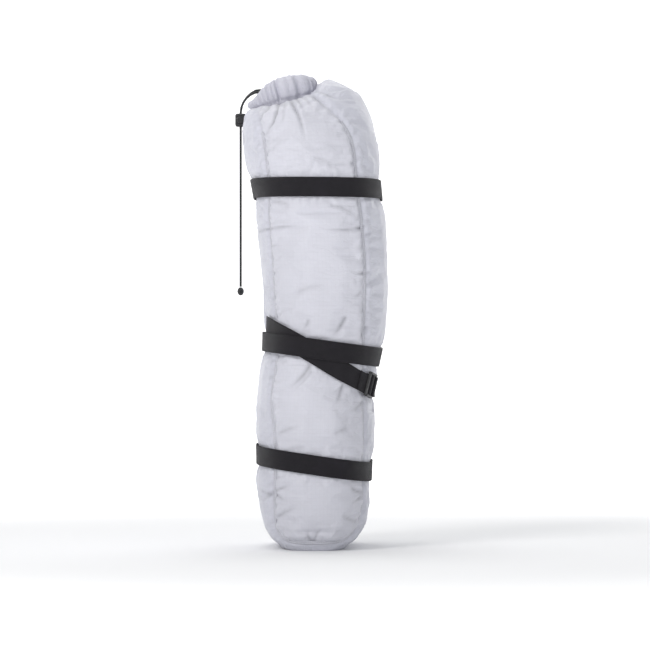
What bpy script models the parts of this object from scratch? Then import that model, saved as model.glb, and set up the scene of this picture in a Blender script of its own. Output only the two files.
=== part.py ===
"""A full compression sack that stands on its base.

The sack has two U-shaped side panels, at -Y and +Y, and one long gusset panel that runs down the left,
under the base and up the right. Three girth straps close with side-release buckles on the +Y face, and a
diagonal strap ends in a ladder lock. The drawcord leaves the gathered collar through an eyelet.

Lengths are written in millimetres and turned into metres where a mesh or a place is made.
"""

import math

import bmesh
import bpy
import numpy as np
from mathutils import Matrix, Vector

MM = 0.001

# The sack's outside: height, left side, right side, half depth and squareness of each level section.
SECTIONS = [(0, -40, 38, 102, 3.2), (9, -50, 46, 108, 3.15), (25, -58, 58, 114, 3.1), (50, -65, 64, 119, 3.0),
            (85, -71, 69, 123, 2.9), (140, -72, 71, 125, 2.9), (200, -68.5, 71, 125.5, 2.85),
            (255, -62, 83, 126, 2.8), (330, -60, 89, 126, 2.8), (385, -65.5, 87.5, 126, 2.75),
            (430, -71, 85, 125, 2.7), (505, -85, 78.5, 118, 2.6), (545, -88.5, 70, 104, 2.3),
            (568, -88, 63, 88, 2.1), (575, -84, 60, 80, 2.0), (582, -60, 55, 70, 2.0),
            (590, -30, 49, 58, 2.0), (598, 0, 38, 36, 2.0), (605, 10, 20, 12, 2.0)]
HEIGHT = SECTIONS[-1][0]
AROUND = 28

# The fabric and what lies on it.
SKIN = 2.2
GAP = 0.3
LOAD_GAP = 1.0
SEAM = [(-74, 640), (-74, 575), (-66, 535), (-61, 503), (-56, 424), (-50, 333), (-48, 249), (-54, 195),
        (-50, 150), (-50, 72), (-50, 45), (-47, 28), (-39, 17), (-26, 12), (0, 11), (26, 12), (40, 17),
        (51, 30), (58, 55), (60, 85), (60, 200), (61.5, 290), (62.5, 362), (58, 418), (52, 479),
        (46, 522), (33, 548), (13, 568), (-5, 582), (-5, 640)]
BINDING_WIDTH = 8.0
BINDING_THICK = 0.8
BINDING_LIFT = 1.6

# The webbing and how far its middle lies from the fabric.
WEB_WIDTH = 25.0
WEB_THICK = 1.6
WEB_LIFT = 4.1
PLY = WEB_THICK + GAP
CROSSING_LIFT = 2.2
TAIL_STEPS = 9
FOLD_STEPS = 3
DIAGONAL_TAIL_STEPS = 3
GIRTH_STRAPS = {"upper": (463.5, 0.4), "middle": (258.0, 8.3), "lower": (110.0, 8.8)}
DIAGONAL = (251.0, 32.0)

# The buckles, in their own frame: X along the strap, Y out of the sack, Z across the strap.
BUCKLE_LIFT = 8.6
BUCKLE_HALF_WIDTH = 16.5
SLOT_HALF_WIDTH = 13.4
BAR_HALF_THICK = 1.6
HOUSING_SPAN = (-34, -1)
HOUSING_HALF_THICK = 4.2
HOUSING_SLOT = (-29, -24.7)
SOCKET_SPAN = (-23.5, 0)
SOCKET_HALF_THICK = 2.7
SOCKET_HALF_WIDTH = 14.2
RELEASE_WINDOW = (-18, -7)
PLUG_SPAN = (-0.4, 27)
PLUG_HALF_THICK = 3.2
PLUG_SLOTS = ((10, 14), (18, 22))
GUIDE = ((-20, 2), (-1.9, 1.9), (-3.4, 3.4))
ARM_SPAN = (-21, 2)
ARM_HALF_THICK = 2.1
ARM_REACH = (8.2, 13.6)

# The ladder lock at the right front corner of the diagonal strap.
LADDER_TURN = math.radians(-37)
LADDER_LIFT = 8.4
LADDER_SPAN = (-11, 12)
LADDER_HALF_THICK = 2.6
LADDER_SLOTS = ((-8, -4), (-0.5, 3.5), (5.5, 9.5))

# How straps lie round the bars, as places along the strap and out of the sack in a buckle's frame.
HOUSING_BAR_SIDE = [(-36, -2.7)]
HOUSING_FOLD = [(-38, -0.75), (-35.5, 1.9), (-33.5, 2.75), (-28.6, 2.75), (-27.3, 2.2), (-26.8, 1),
                (-26.8, -1), (-27.3, -2.2), (-28.6, -2.7)]
PLUG_THREAD = [(29, -4.8), (14.2, -4.8), (12.6, -4.0), (12, -2.4), (12, 0.9), (12.7, 2.3), (14.2, 2.75),
               (17.8, 2.75), (19.3, 2.3), (20, 0.9), (20, -0.9), (20.7, -2.3), (22.2, -2.9), (29, -2.9)]
LADDER_THREAD = [(-12, -4.8), (0, -4.8), (1.2, -4.0), (1.6, -2.4), (1.6, 0.9), (0.9, 2.3), (-0.6, 2.75),
                 (-3.4, 2.75), (-5.2, 2.2), (-6, 0.8), (-6, -0.9), (-6.7, -2.3), (-8.2, -2.9), (-12, -2.9)]
LADDER_WRAP = [(13.5, -2.7), (9.4, -2.7), (8.0, -2.4), (7.5, -1), (7.5, 1), (8.0, 2.4), (9.4, 2.75),
               (12.8, 2.6), (15.4, -0.2)]

# Where each strap starts and ends round the sack, in degrees from +X, and how finely it is divided.
GIRTH_TURNS = (-236, 56, 53)
DIAGONAL_TURNS = (-160, -48, 22)
ANCHOR_TURNS = (-22, 2, 6)
WEB_STATIONS = 4

# The collar stands on a plane that leans to the left.
COLLAR_CENTRE = Vector((-42.5, 0, 587))
COLLAR_TILT = math.radians(15)
COLLAR_RINGS = [(-16, 43, 28), (-2, 45, 30), (10, 46, 31), (18, 43, 27), (22, 38, 21), (19, 31, 13),
                (12, 22, 6)]
MOUTH = (34, 18)
CORD_RADIUS = 1.5
CASING_RADIUS = 1.9
CORD_OVAL = (40, 25)
CORD_HEIGHT = 6.5
EYELET_TURN = math.radians(110)
EYELET_PROFILE = [(4.0, 0.9), (6.5, 0.9), (6.5, 0.45), (4.4, 0.45), (4.4, -2.6), (4.0, -2.6)]
EYELET_HOLE_RADIUS = 4.7

# The tails run from the eyelet over the shoulder and hang down the left side. The last number of each
# point turns the pair of tails from one above the other, at 0, to one beside the other, at 90.
TAIL_ROUTE = [(-58.5, 25.6, 589.4, 0), (-60.0, 31.5, 589.1, 0), (-62.6, 37, 591.0, 0), (-68.5, 40, 594.3, 15),
              (-76.5, 39, 594.6, 40), (-85, 35.5, 590.2, 65), (-91.5, 32, 583.4, 80),
              (-95.6, 29.5, 575.5, 90), (-97.2, 28.2, 567.5, 90), (-97.4, 28, 560, 90), (-97.4, 28, 540, 90),
              (-97.4, 28, 500, 90), (-97.4, 28, 440, 90), (-97.4, 28, 380, 90), (-97.4, 28, 338, 90)]
TAIL_HALF_SPACING = 1.9
TAIL_STEP = 7.5
LOCK_PLACE = Vector((-97.4, 28, 556))
LOCK_BODY = ((-7, 7), (-8, 13), (-8.5, 8.5))
LOCK_SLOT = ((-2.0, 2.0), (-4.1, 4.1), (-12, 12))
LOCK_BORE_RADIUS = 4.9
LOCK_BORE_SPAN = (-9, 11.4)
BUTTON_RADIUS = 4.6
BUTTON_SPAN = (-13, 5.8)
BUTTON_SLOT = ((-2.0, 2.0), (-8.2, 4.2), (-12, 12))
SPRING_TURNS = 2.5
SPRING_WIRE_RADIUS = 0.35
SPRING_RADIUS = 3.2
SPRING_SPAN = (6.5, 10.7)
KNOT_HALF_SIZE = (4.4, 5.6, 5.5)
KNOT_DROP = 6.0

COLOURS = {"ripstop": ((0.64, 0.63, 0.70), 0.45, 0.0), "binding": ((0.50, 0.50, 0.57), 0.6, 0.0),
           "webbing": ((0.022, 0.020, 0.025), 0.7, 0.0), "plastic": ((0.015, 0.015, 0.016), 0.4, 0.0),
           "cord": ((0.018, 0.018, 0.02), 0.65, 0.0), "steel": ((0.55, 0.55, 0.56), 0.3, 1.0),
           "filling": ((0.75, 0.73, 0.70), 0.9, 0.0)}


# ---- scene helpers ----

def clear_scene():
    for obj in list(bpy.data.objects):
        bpy.data.objects.remove(obj)


def collection(name):
    made = bpy.data.collections.new(name)
    bpy.context.scene.collection.children.link(made)
    return made


def material(name):
    colour, roughness, metallic = COLOURS[name]
    made = bpy.data.materials.new(name)
    made.use_nodes = True
    shader = made.node_tree.nodes["Principled BSDF"]
    shader.inputs["Base Color"].default_value = (*colour, 1)
    shader.inputs["Roughness"].default_value = roughness
    shader.inputs["Metallic"].default_value = metallic
    return made


def add(name, mesh, finish, place=Matrix()):
    """A part of the sack: one object with a material of its own."""
    obj = bpy.data.objects.new(name, mesh)
    obj.matrix_world = place
    obj.data.materials.clear()
    obj.data.materials.append(material(finish))
    PARTS.objects.link(obj)
    return obj


def cutter(name, mesh, place=Matrix()):
    obj = bpy.data.objects.new(name, mesh)
    obj.matrix_world = place
    obj.hide_render = True
    obj.display_type = "WIRE"
    CUTTERS.objects.link(obj)
    return obj


def boolean(obj, other, operation="DIFFERENCE"):
    modifier = obj.modifiers.new(f"{operation.lower()} {other.name}", "BOOLEAN")
    modifier.operation = operation
    modifier.object = other


def bevel(obj, width, segments=2):
    modifier = obj.modifiers.new("round edges", "BEVEL")
    modifier.width = width * MM
    modifier.segments = segments
    modifier.limit_method = "ANGLE"


def solidify(obj, thickness):
    modifier = obj.modifiers.new("thickness", "SOLIDIFY")
    modifier.thickness = thickness * MM
    modifier.offset = 0


def baked(obj):
    """The evaluated mesh of a scratch object, which is removed."""
    bpy.context.view_layer.update()
    graph = bpy.context.evaluated_depsgraph_get()
    mesh = bpy.data.meshes.new_from_object(obj.evaluated_get(graph))
    bpy.data.objects.remove(obj)
    return mesh


# ---- mesh helpers ----

def mesh_from(bm, name):
    bmesh.ops.recalc_face_normals(bm, faces=bm.faces)
    mesh = bpy.data.meshes.new(name)
    bm.to_mesh(mesh)
    bm.free()
    return mesh


def boxes(name, *bounds):
    """Separate boxes in one mesh, each given as ((x0, x1), (y0, y1), (z0, z1))."""
    bm = bmesh.new()
    for spans in bounds:
        made = bmesh.ops.create_cube(bm, size=1)["verts"]
        size = [(high - low) * MM for low, high in spans]
        middle = [(high + low) / 2 * MM for low, high in spans]
        bmesh.ops.transform(bm, matrix=Matrix.Translation(middle) @ Matrix.Diagonal((*size, 1)), verts=made)
    return mesh_from(bm, name)


def cylinder(name, radius, low, high, sides=20):
    """A cylinder along Y from low to high."""
    bm = bmesh.new()
    turn = Matrix.Translation((0, (low + high) / 2 * MM, 0)) @ Matrix.Rotation(math.pi / 2, 4, "X")
    bmesh.ops.create_cone(bm, cap_ends=True, segments=sides, radius1=radius * MM, radius2=radius * MM,
                          depth=(high - low) * MM, matrix=turn)
    return mesh_from(bm, name)


def bridged(bm, rings):
    """Vertices of a loft through rings of equal count, with its ends capped."""
    rows = [[bm.verts.new(Vector(point) * MM) for point in ring] for ring in rings]
    count = len(rows[0])
    for low, high in zip(rows, rows[1:]):
        for i in range(count):
            j = (i + 1) % count
            bm.faces.new((low[i], low[j], high[j], high[i]))
    bm.faces.new(list(reversed(rows[0])))
    bm.faces.new(rows[-1])


def loft(name, rings):
    bm = bmesh.new()
    bridged(bm, rings)
    return mesh_from(bm, name)


def grid(name, rows):
    """An open sheet through rows of points."""
    bm = bmesh.new()
    lines = [[bm.verts.new(Vector(point) * MM) for point in row] for row in rows]
    for first, second in zip(lines, lines[1:]):
        for i in range(len(first) - 1):
            bm.faces.new((first[i], first[i + 1], second[i + 1], second[i]))
    return mesh_from(bm, name)


def prism(name, outline, low, high):
    """An outline in X and Z, drawn out along Y."""
    bm = bmesh.new()
    face = bm.faces.new([bm.verts.new(Vector((x, low, z)) * MM) for x, z in outline])
    made = bmesh.ops.extrude_face_region(bm, geom=[face])["geom"]
    moved = [item for item in made if isinstance(item, bmesh.types.BMVert)]
    bmesh.ops.translate(bm, verts=moved, vec=(0, (high - low) * MM, 0))
    return mesh_from(bm, name)


def tube(name, points, radius, cyclic=False):
    """A round tube along points, as a curve object's data."""
    curve = bpy.data.curves.new(name, "CURVE")
    curve.dimensions = "3D"
    curve.bevel_depth = radius * MM
    curve.bevel_resolution = 2
    curve.use_fill_caps = not cyclic
    spline = curve.splines.new("POLY")
    spline.points.add(len(points) - 1)
    for target, point in zip(spline.points, points):
        target.co = (*(Vector(point) * MM), 1)
    spline.use_cyclic_u = cyclic
    return curve


def smooth_route(points, step):
    """Points at even steps along a Catmull-Rom curve through the given ones."""
    route = np.array(points, float)
    route = np.vstack([2 * route[0] - route[1], route, 2 * route[-1] - route[-2]])
    fine = []
    for p0, p1, p2, p3 in zip(route, route[1:], route[2:], route[3:]):
        for t in np.linspace(0, 1, 12, endpoint=False):
            fine.append(0.5 * (2 * p1 + (p2 - p0) * t + (2 * p0 - 5 * p1 + 4 * p2 - p3) * t**2
                               + (3 * p1 - p0 - 3 * p2 + p3) * t**3))
    fine.append(route[-2])
    fine = np.array(fine)
    along = np.concatenate([[0], np.cumsum(np.linalg.norm(np.diff(fine, axis=0), axis=1))])
    wanted = np.linspace(0, along[-1], max(2, round(along[-1] / step)) + 1)
    return np.column_stack([np.interp(wanted, along, fine[:, axis]) for axis in range(3)])


# ---- the sack's outside ----

def section(z, inset=0.0):
    """Middle, half-width, half-depth and squareness of the sack's section at a height."""
    heights, *values = zip(*SECTIONS)
    left, right, depth, power = (float(np.interp(z, heights, value)) for value in values)
    return (left + right) / 2, max((right - left) / 2 - inset, 1.0), max(depth - inset, 1.0), power


def on_section(turn, z, inset=0.0):
    """The point of a section at a turn from +X, and the direction out of the sack there."""
    middle, half, depth, power = section(z, inset)
    c, s = math.cos(turn), math.sin(turn)
    x = math.copysign(abs(c) ** (2 / power), c)
    y = math.copysign(abs(s) ** (2 / power), s)
    out = Vector((math.copysign(abs(x) ** (power - 1), x) / half,
                  math.copysign(abs(y) ** (power - 1), y) / depth, 0)).normalized()
    return Vector((middle + half * x, depth * y, z)), out


def face_depth(x, z):
    """How far the sack's face stands from the middle plane at X and height."""
    middle, half, depth, power = section(z)
    across = min(abs(x - middle) / half, 0.999)
    return depth * (1 - across**power) ** (1 / power)


def above_face(x, z, side, lift):
    """A point over one of the two faces, lifted square to it."""
    near = 2.0
    lean_x = (face_depth(x + near, z) - face_depth(x - near, z)) / (2 * near)
    lean_z = (face_depth(x, z + near) - face_depth(x, z - near)) / (2 * near)
    out = Vector((-lean_x, side, -lean_z)).normalized()
    return Vector((x, side * face_depth(x, z), z)) + out * lift


def sack_rings(inset):
    rings = []
    for level, *_ in SECTIONS:
        z = inset + level * (HEIGHT - 2 * inset) / HEIGHT
        ring = [on_section(math.tau * (i + 0.5) / AROUND, level, inset)[0] for i in range(AROUND)]
        rings.append([(p.x, p.y, z) for p in ring])
    return rings


def shell_mesh(name):
    """Outside and inside faces of the fabric, before it is cut into panels."""
    bm = bmesh.new()
    bridged(bm, sack_rings(0))
    outside = set(bm.faces)
    bridged(bm, sack_rings(SKIN))
    bmesh.ops.reverse_faces(bm, faces=[face for face in bm.faces if face not in outside])
    mesh = bpy.data.meshes.new(name)
    bm.to_mesh(mesh)
    bm.free()
    return mesh


def grown(outline, distance):
    """An outline with each point moved out by a distance."""
    points = [Vector(p) for p in outline]
    made = []
    for before, here, after in zip(points[-1:] + points, points, points[1:] + points[:1]):
        along = (after - before).normalized()
        made.append(here + Vector((-along.y, along.x)) * -distance)
    return made


def fabric_panels():
    """Two U-shaped side panels, and the gusset that joins them."""
    mouth_ring = [(COLLAR_CENTRE.x + MOUTH[0] * math.cos(a), MOUTH[1] * math.sin(a))
                  for a in np.linspace(0, math.tau, 24, endpoint=False)]
    mouth = cutter("mouth_cutter", loft("mouth_cutter", [[(x, y, z) for x, y in mouth_ring]
                                                         for z in (550, 660)]))
    for name, side in (("side_panel_front", -1), ("side_panel_back", 1)):
        spans = sorted((side * GAP, side * 200))
        outline = cutter(name + "_outline", prism(name + "_outline", SEAM, *spans))
        panel = add(name, shell_mesh(name), "ripstop")
        boolean(panel, outline, "INTERSECT")
        boolean(panel, mouth)
    both = cutter("gusset_cutter", prism("gusset_cutter", grown(SEAM, GAP), -200, 200))
    gusset = add("gusset_panel", shell_mesh("gusset_panel"), "ripstop")
    boolean(gusset, both)
    boolean(gusset, mouth)


def seam_bindings():
    """A tape along each U-shaped seam, from one side of the collar to the other."""
    low_part = [Vector((x, z, 0)) for x, z in SEAM if z < 560]
    route = [Vector(p) for p in smooth_route(low_part, 12)]
    for name, side in (("seam_binding_front", -1), ("seam_binding_back", 1)):
        rows = [[], [], []]
        for before, here, after in zip(route[:1] + route, route, route[1:] + route[-1:]):
            along = (after - before).normalized()
            across = Vector((-along.y, along.x, 0))
            for row, shift in zip(rows, (-BINDING_WIDTH / 2, 0, BINDING_WIDTH / 2)):
                place = here + across * shift
                row.append(above_face(place.x, place.y, side, BINDING_LIFT))
        tape = add(name, grid(name, rows), "binding")
        solidify(tape, BINDING_THICK)


def packed_load():
    add("packed_load", loft("packed_load", sack_rings(SKIN + LOAD_GAP)), "filling")


# ---- collar and drawcord ----

def collar_frame():
    return Matrix.Translation(COLLAR_CENTRE) @ Matrix.Rotation(-COLLAR_TILT, 4, "Y")


def oval(half_length, half_width, height, count=32):
    turns = np.linspace(0, math.tau, count, endpoint=False)
    return [collar_frame() @ Vector((half_length * math.cos(a), half_width * math.sin(a), height))
            for a in turns]


def eyelet_frame():
    """X stays level, Z points out of the collar where the eyelet is set."""
    half_length, half_width = COLLAR_RINGS[2][1:]
    foot = Vector((half_length * math.cos(EYELET_TURN), half_width * math.sin(EYELET_TURN), CORD_HEIGHT))
    out = Vector((math.cos(EYELET_TURN) / half_length, math.sin(EYELET_TURN) / half_width, 0))
    facing = out.to_track_quat("Z", "Y").to_matrix().to_4x4()
    place = collar_frame() @ Matrix.Translation(foot) @ facing
    return Matrix.LocRotScale(place.to_translation() * MM, place.to_quaternion(), None)


def collar():
    """The gathered end of the sack: solid below, with a shallow mouth on top."""
    body = add("collar", loft("collar", [oval(a, b, h) for h, a, b in COLLAR_RINGS]), "ripstop")
    room = [[(p[0] * 1.004, p[1] * 1.004, p[2] + 0.9) for p in ring] for ring in sack_rings(0)]
    boolean(body, cutter("sack_below_collar", loft("sack_below_collar", room)))
    casing = cutter("casing_scratch", tube("casing", oval(*CORD_OVAL, CORD_HEIGHT, 40), CASING_RADIUS, True))
    boolean(body, cutter("casing_cutter", baked(casing)))
    bm = bmesh.new()
    radius = EYELET_HOLE_RADIUS * MM
    bmesh.ops.create_cone(bm, cap_ends=True, segments=20, radius1=radius, radius2=radius, depth=20 * MM)
    boolean(body, cutter("eyelet_hole", mesh_from(bm, "eyelet_hole"), eyelet_frame()))


def eyelet():
    """A flanged ring through the casing's wall, turned from its profile."""
    bm = bmesh.new()
    points = [bm.verts.new((x * MM, 0, z * MM)) for x, z in EYELET_PROFILE]
    for first, second in zip(points, points[1:] + points[:1]):
        bm.edges.new((first, second))
    mesh = bpy.data.meshes.new("cord_eyelet")
    bm.to_mesh(mesh)
    bm.free()
    ring = add("cord_eyelet", mesh, "plastic", eyelet_frame())
    turned = ring.modifiers.new("turn", "SCREW")
    turned.steps = 24
    turned.render_steps = 24
    turned.use_merge_vertices = True
    turned.merge_threshold = 0.00001


def drawcord():
    add("drawcord", tube("drawcord", oval(*CORD_OVAL, CORD_HEIGHT, 40), CORD_RADIUS, True), "cord")
    for name, side in (("drawcord_tail_front", -1), ("drawcord_tail_rear", 1)):
        route = []
        for x, y, z, turn in TAIL_ROUTE:
            apart = side * TAIL_HALF_SPACING
            lean = math.radians(turn)
            route.append((x, y + apart * math.sin(lean), z + apart * math.cos(lean)))
        add(name, tube(name, smooth_route(route, TAIL_STEP), CORD_RADIUS), "cord")


def cord_knot():
    bm = bmesh.new()
    bmesh.ops.create_uvsphere(bm, u_segments=14, v_segments=8, radius=MM)
    bmesh.ops.scale(bm, vec=KNOT_HALF_SIZE, verts=bm.verts)
    x, y, z = TAIL_ROUTE[-1][:3]
    place = Matrix.Translation(Vector((x, y, z - KNOT_DROP)) * MM)
    add("cord_knot", mesh_from(bm, "cord_knot"), "cord", place)


def cord_lock():
    """A spring-loaded lock: the button holds the tails against the body's edge until it is pressed."""
    place = Matrix.Translation(LOCK_PLACE * MM)
    body = add("cord_lock_body", boxes("cord_lock_body", LOCK_BODY), "plastic", place)
    bevel(body, 2.5, 3)
    boolean(body, cutter("lock_bore", cylinder("lock_bore", LOCK_BORE_RADIUS, *LOCK_BORE_SPAN), place))
    boolean(body, cutter("lock_slot", boxes("lock_slot", LOCK_SLOT), place))
    button_mesh = cylinder("cord_lock_button", BUTTON_RADIUS, *BUTTON_SPAN)
    button = add("cord_lock_button", button_mesh, "plastic", place)
    bevel(button, 0.8)
    boolean(button, cutter("button_slot", boxes("button_slot", BUTTON_SLOT), place))
    start, end = SPRING_SPAN
    coil = [(SPRING_RADIUS * math.cos(share * SPRING_TURNS * math.tau), start + (end - start) * share,
             SPRING_RADIUS * math.sin(share * SPRING_TURNS * math.tau)) for share in np.linspace(0, 1, 31)]
    add("cord_lock_spring", tube("cord_lock_spring", coil, SPRING_WIRE_RADIUS), "steel", place)


# ---- webbing ----

def on_strap_plane(turn, height, slope, across, lift):
    """A point of a strap's middle, across its width and above the fabric, and the way out there."""
    z = height + across
    for _ in range(4):
        place, out = on_section(turn, z)
        steep = math.tan(slope)
        z = height - place.x * steep + across * math.hypot(1, steep * out.y)
    return place + out * lift


def buckle_frame(height, slope):
    """The frame of a girth strap's buckle on the +Y face: X along the strap, Y out, Z across it."""
    middle, _, depth, _ = section(height)
    centre = Vector((middle, depth + BUCKLE_LIFT, height - middle * math.tan(slope)))
    return Matrix.Translation(centre) @ Matrix.Rotation(slope, 4, "Y")


def crossing_lift(turn, name):
    """The middle strap rises where the diagonal strap lies under it."""
    if name != "middle":
        return 0.0
    start, full, fade, end = (math.radians(a) for a in (-50, -66, -190, -215))
    rise = np.interp(-turn, (-start, -full, -fade, -end), (0, 1, 1, 0))
    return CROSSING_LIFT * float(rise)


def girth_line(name, across):
    """The middle line of a girth strap at one place across its width.

    It starts at the sewn end of the fold round the housing's bar, runs round the left side, the front and
    the right side, threads the plug's two bars, and ends as a tail on top of itself.
    """
    height, degrees = GIRTH_STRAPS[name]
    slope = math.radians(degrees)
    frame = buckle_frame(height, slope)

    def beside(points):
        return [frame @ Vector((u, v, across)) for u, v in points]

    turns = np.radians(np.linspace(*GIRTH_TURNS))
    run = [on_strap_plane(a, height, slope, across, WEB_LIFT + crossing_lift(a, name)) for a in turns]
    outer = [on_strap_plane(a, height, slope, across, WEB_LIFT + PLY + crossing_lift(a, name)) for a in turns]
    bar_side, fold, plug_side = beside(HOUSING_BAR_SIDE), beside(HOUSING_FOLD), beside(PLUG_THREAD)
    sewn_end = list(reversed(outer[:FOLD_STEPS]))
    tail = list(reversed(outer[-TAIL_STEPS:]))
    return sewn_end, fold, bar_side, run, plug_side, tail


def girth_straps():
    stations = np.linspace(-WEB_WIDTH / 2, WEB_WIDTH / 2, WEB_STATIONS)
    for name in GIRTH_STRAPS:
        rows = []
        for across in stations:
            sewn_end, fold, bar_side, run, plug_side, tail = girth_line(name, across)
            rows.append(sewn_end + fold + bar_side + run + plug_side + tail)
        strap = add(f"{name}_strap", grid(f"{name}_strap", rows), "webbing")
        solidify(strap, WEB_THICK)


# ---- buckles ----

def housing_mesh():
    """The socket half of a side-release buckle, with its bar at -X and its mouth at +X."""
    wide, slot, bar = BUCKLE_HALF_WIDTH, SLOT_HALF_WIDTH, BAR_HALF_THICK
    thick, room, reach = HOUSING_HALF_THICK, SOCKET_HALF_THICK, SOCKET_HALF_WIDTH
    body = cutter("housing_scratch", boxes("housing", (HOUSING_SPAN, (-thick, thick), (-wide, wide))))
    bevel(body, 1.6)
    rooms = ((SOCKET_SPAN, (-room, room), (-reach, reach)), (HOUSING_SLOT, (-6, 6), (-slot, slot)))
    windows = ((RELEASE_WINDOW, (-room, room), (-20, 0.2 - reach)),
               (RELEASE_WINDOW, (-room, room), (reach - 0.2, 20)))
    beside_slot = (HOUSING_SPAN[0] - 2, HOUSING_SLOT[0] + 0.1)
    thin_bar = ((beside_slot, (bar, 6), (-slot, slot)), (beside_slot, (-6, -bar), (-slot, slot)))
    tools = [cutter(f"housing_cut_{i}", boxes("housing_cut", *shapes))
             for i, shapes in enumerate((rooms, windows, thin_bar))]
    for tool in tools:
        boolean(body, tool)
    mesh = baked(body)
    for tool in tools:
        bpy.data.objects.remove(tool)
    return mesh


def plug_mesh():
    """The plug half: a guide and two spring arms at -X, and the two bars that the strap threads at +X."""
    wide, slot, bar = BUCKLE_HALF_WIDTH, SLOT_HALF_WIDTH, BAR_HALF_THICK
    thick, spring, (near, far) = PLUG_HALF_THICK, ARM_HALF_THICK, ARM_REACH
    body = cutter("plug_scratch", boxes("plug", (PLUG_SPAN, (-thick, thick), (-wide, wide))))
    bevel(body, 1.2)
    arm_shapes = ((ARM_SPAN, (-spring, spring), (near, far)), (ARM_SPAN, (-spring, spring), (-far, -near)))
    arms = cutter("plug_arms", boxes("plug_arms", GUIDE, *arm_shapes))
    bevel(arms, 0.8, 1)
    slots = tuple((span, (-6, 6), (-slot, slot)) for span in PLUG_SLOTS)
    past_slot = (PLUG_SLOTS[0][1] - 0.1, PLUG_SPAN[1] + 1)
    thin_bars = ((past_slot, (bar, 6), (-slot, slot)), (past_slot, (-6, -bar), (-slot, slot)))
    boolean(body, arms, "UNION")
    tools = [cutter(f"plug_cut_{i}", boxes("plug_cut", *shapes))
             for i, shapes in enumerate((slots, thin_bars))]
    for tool in tools:
        boolean(body, tool)
    mesh = baked(body)
    for tool in [arms, *tools]:
        bpy.data.objects.remove(tool)
    return mesh


def in_metres(frame):
    return Matrix.LocRotScale(frame.to_translation() * MM, frame.to_quaternion(), None)


def buckles():
    housing, plug = housing_mesh(), plug_mesh()
    for name, (height, degrees) in GIRTH_STRAPS.items():
        place = in_metres(buckle_frame(height, math.radians(degrees)))
        add(f"{name}_buckle_housing", housing.copy(), "plastic", place)
        add(f"{name}_buckle_plug", plug.copy(), "plastic", place)


# ---- diagonal strap ----

def ladder_frame():
    """The ladder lock's frame at the right front corner: X along the strap, Y out, Z down."""
    height, degrees = DIAGONAL
    slope = math.radians(degrees)
    def beside(turn, across):
        return on_strap_plane(LADDER_TURN + turn, height, slope, across, LADDER_LIFT)

    along = (beside(0.06, 0) - beside(-0.06, 0)).normalized()
    upward = beside(0, WEB_WIDTH / 2) - beside(0, -WEB_WIDTH / 2)
    out = along.cross(upward).normalized()
    across = along.cross(out)
    rotation = Matrix((along, out, across)).transposed().to_4x4()
    return Matrix.Translation(beside(0, 0)) @ rotation


def ladder_lock():
    """A frame with three bars: the diagonal strap threads two of them, and the anchor holds the third."""
    wide, slot, bar = BUCKLE_HALF_WIDTH - 0.5, SLOT_HALF_WIDTH, BAR_HALF_THICK
    body = cutter("ladder_scratch", boxes("ladder", (LADDER_SPAN, (-LADDER_HALF_THICK, LADDER_HALF_THICK),
                                                     (-wide, wide))))
    bevel(body, 1.2)
    slots = tuple((span, (-6, 6), (-slot, slot)) for span in LADDER_SLOTS)
    past_ends = (LADDER_SPAN[0] - 1, LADDER_SPAN[1] + 1)
    thin_bars = ((past_ends, (bar, 6), (-slot, slot)), (past_ends, (-6, -bar), (-slot, slot)))
    tools = [cutter(f"ladder_cut_{i}", boxes("ladder_cut", *shapes))
             for i, shapes in enumerate((slots, thin_bars))]
    for tool in tools:
        boolean(body, tool)
    mesh = baked(body)
    for tool in tools:
        bpy.data.objects.remove(tool)
    add("ladder_lock", mesh, "plastic", in_metres(ladder_frame()))


def diagonal_strap():
    """From its sewn end on the left side, down across the front, and through the ladder lock."""
    height, degrees = DIAGONAL
    slope = math.radians(degrees)
    frame = ladder_frame()
    turns = np.radians(np.linspace(*DIAGONAL_TURNS))
    stations = np.linspace(-WEB_WIDTH / 2, WEB_WIDTH / 2, WEB_STATIONS)
    rows = []
    for across in stations:
        run = [on_strap_plane(a, height, slope, across, WEB_LIFT) for a in turns]
        top = [on_strap_plane(a, height, slope, across, WEB_LIFT + PLY) for a in turns[-DIAGONAL_TAIL_STEPS:]]
        threaded = [frame @ Vector((u, v, -across)) for u, v in LADDER_THREAD]
        rows.append(run + threaded + list(reversed(top)))
    strap = add("diagonal_strap", grid("diagonal_strap", rows), "webbing")
    solidify(strap, WEB_THICK)


def ladder_anchor():
    """A short loop of webbing, sewn to the gusset, that holds the ladder lock's third bar."""
    height, degrees = DIAGONAL
    slope = math.radians(degrees)
    frame = ladder_frame()
    turns = np.radians(np.linspace(*ANCHOR_TURNS))
    rows = []
    for across in np.linspace(-WEB_WIDTH / 2, WEB_WIDTH / 2, WEB_STATIONS):
        low = [on_strap_plane(a, height, slope, across, WEB_LIFT) for a in turns]
        top = [on_strap_plane(a, height, slope, across, WEB_LIFT + PLY) for a in turns[:-1]]
        wrapped = [frame @ Vector((u, v, -across)) for u, v in LADDER_WRAP]
        rows.append(list(reversed(low)) + wrapped + top)
    loop = add("ladder_anchor", grid("ladder_anchor", rows), "webbing")
    solidify(loop, WEB_THICK)


clear_scene()
PARTS = collection("compression_sack")
CUTTERS = collection("cutters")
packed_load()
fabric_panels()
seam_bindings()
collar()
eyelet()
drawcord()
cord_knot()
cord_lock()
girth_straps()
buckles()
ladder_lock()
diagonal_strap()
ladder_anchor()
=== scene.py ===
"""The look of the compression sack: puckered ripstop, gathered collar, webbing and moulded hardware."""
import math

import bpy
import numpy as np
from mathutils import Matrix, Vector, noise
from mathutils.bvhtree import BVHTree
from mathutils.kdtree import KDTree


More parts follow.
